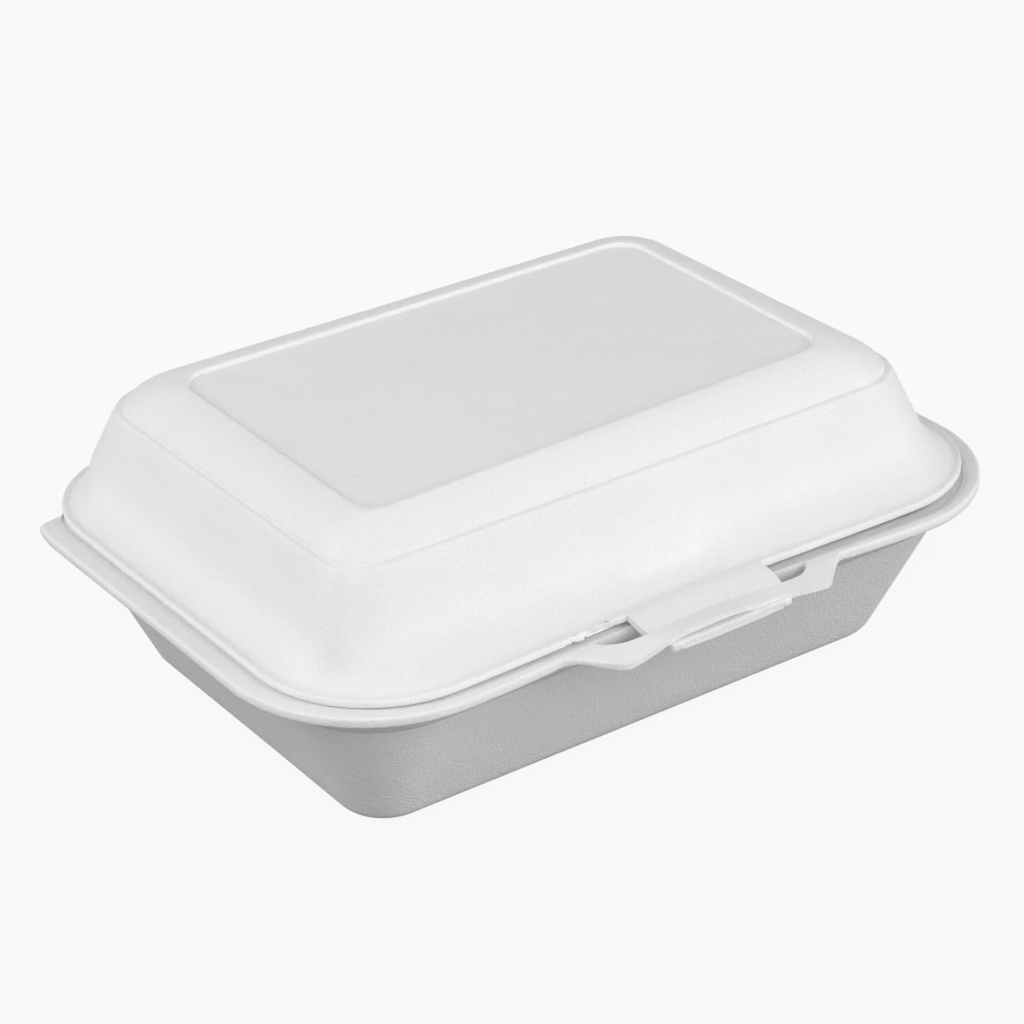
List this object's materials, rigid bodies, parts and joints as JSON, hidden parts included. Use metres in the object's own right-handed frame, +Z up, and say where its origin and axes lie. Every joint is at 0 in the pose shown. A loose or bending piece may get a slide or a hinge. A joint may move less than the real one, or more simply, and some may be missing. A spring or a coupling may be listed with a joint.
{
  "type": "foam clamshell food box",
  "caption": "Rectangular foam food box: a drafted tray and a domed lid with a sunk top panel, hinged along the back and closed by a tongue through a slotted flap.",
  "frame": {"origin": "middle of the tray's flat underside, on the table surface", "axes": "+X along the front edge, -Y towards the latch, +Y towards the hinge, +Z up"},
  "size_m": [0.185, 0.1395, 0.0699],
  "materials": {
    "foam_tray": "white expanded foam, satin skin with fine grain",
    "foam_lid": "white expanded foam, satin skin with fine grain"
  },
  "bodies": {
    "tray": {"tray": "foam_tray"},
    "lid": {"lid": "foam_lid"}
  },
  "joints": [
    {"name": "lid_hinge", "type": "hinge", "parent": "tray", "child": "lid", "pos_m": [0, 0.0628, 0.0391], "axis": [-1, 0, 0], "range_deg": [0, 180]}
  ]
}
